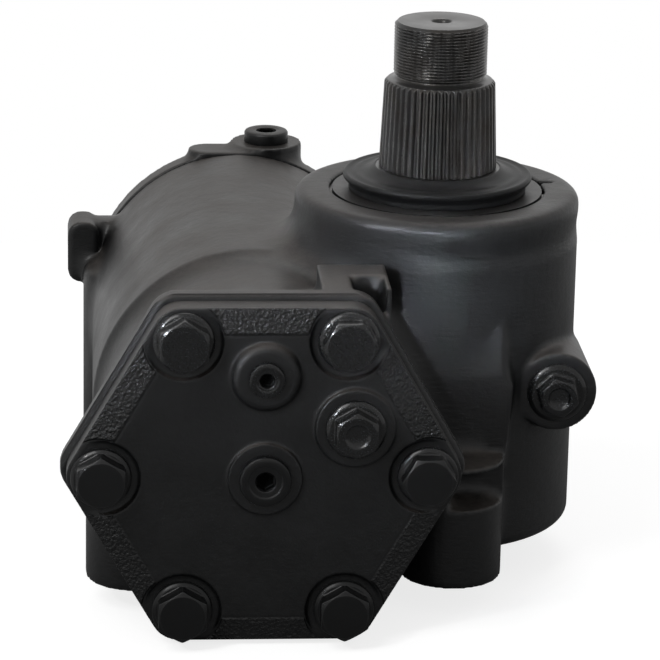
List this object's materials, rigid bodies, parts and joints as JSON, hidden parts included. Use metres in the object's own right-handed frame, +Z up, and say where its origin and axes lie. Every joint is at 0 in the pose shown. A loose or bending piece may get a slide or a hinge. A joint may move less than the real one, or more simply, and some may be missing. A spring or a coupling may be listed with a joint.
{
  "type": "power steering gear",
  "caption": "Hydraulic recirculating-ball steering gear: cylinder with hexagonal cover, upright splined output shaft, rear rotary valve and input shaft.",
  "frame": {"origin": "middle of the four mounting holes, on the mounting face under the feet", "axes": "+Z up along the sector shaft, +Y along the cylinder from its hexagonal cover to the input shaft, +X from the cylinder to the sector shaft"},
  "size_m": [0.2566, 0.4431, 0.2675],
  "materials": {
    "black_paint": "satin black paint over cast iron",
    "coated_steel": "black coated steel fasteners",
    "dark_steel": "dark bare machined steel",
    "ground_steel": "ground steel",
    "black_rubber": "matte black rubber",
    "seal_plastic": "filled seal plastic"
  },
  "bodies": {
    "housing": {"gear_housing": "black_paint", "cylinder_cover": "black_paint", "cover_bolts": "coated_steel", "cover_seal_ring": "black_rubber", "centre_plug": "coated_steel", "bleed_plug": "coated_steel", "limiter_adjuster": "coated_steel", "side_valve_plug": "coated_steel", "side_cover": "black_paint", "side_cover_seal": "black_rubber", "side_cover_screws": "coated_steel", "adjusting_screw": "coated_steel", "adjuster_lock_nut": "coated_steel", "lower_needle_bearing": "ground_steel", "bearing_cover": "dark_steel", "upper_needle_bearing": "ground_steel", "shaft_seal": "black_rubber", "snap_ring": "dark_steel", "valve_housing": "black_paint", "valve_housing_bolts": "coated_steel", "valve_housing_seal": "black_rubber", "port_plug": "coated_steel", "worm_bearing": "ground_steel", "input_bearing": "ground_steel", "input_seal": "black_rubber"},
    "sector_shaft": {"sector_shaft": "dark_steel", "shaft_retainer": "ground_steel", "dust_boot": "black_rubber"},
    "piston": {"rack_piston": "ground_steel", "piston_ring": "seal_plastic", "limiter_poppet": "ground_steel", "ball_return_tube": "ground_steel", "ball_train": "ground_steel"},
    "worm": {"worm": "ground_steel", "torsion_bar": "ground_steel", "worm_pin": "ground_steel", "valve_sleeve": "ground_steel", "sleeve_seal_rings": "seal_plastic"},
    "input_shaft": {"input_shaft": "ground_steel", "input_pin": "ground_steel", "input_dust_cap": "black_rubber"}
  },
  "joints": [
    {"name": "sector_turn", "type": "hinge", "parent": "housing", "child": "sector_shaft", "pos_m": [0.0712, -0.029, 0.07], "axis": [0, 0, 1], "range_deg": [-45, 45]},
    {"name": "piston_slide", "type": "slide", "parent": "housing", "child": "piston", "axis": [0, 1, 0], "range_m": [-0.036, 0.036]},
    {"name": "worm_turn", "type": "hinge", "parent": "housing", "child": "worm", "pos_m": [-0.018, 0.1, 0.07], "axis": [0, 1, 0], "range_deg": [-860, 860]},
    {"name": "input_twist", "type": "hinge", "parent": "worm", "child": "input_shaft", "pos_m": [-0.018, 0.2, 0.07], "axis": [0, 1, 0], "range_deg": [-4, 4], "stiffness_Nm_per_rad": 60}
  ],
  "couplings": [
    {"joint": "piston_slide", "follows": "sector_turn", "m_per_rad": -0.0455},
    {"joint": "worm_turn", "follows": "sector_turn", "ratio": 19.059}
  ]
}
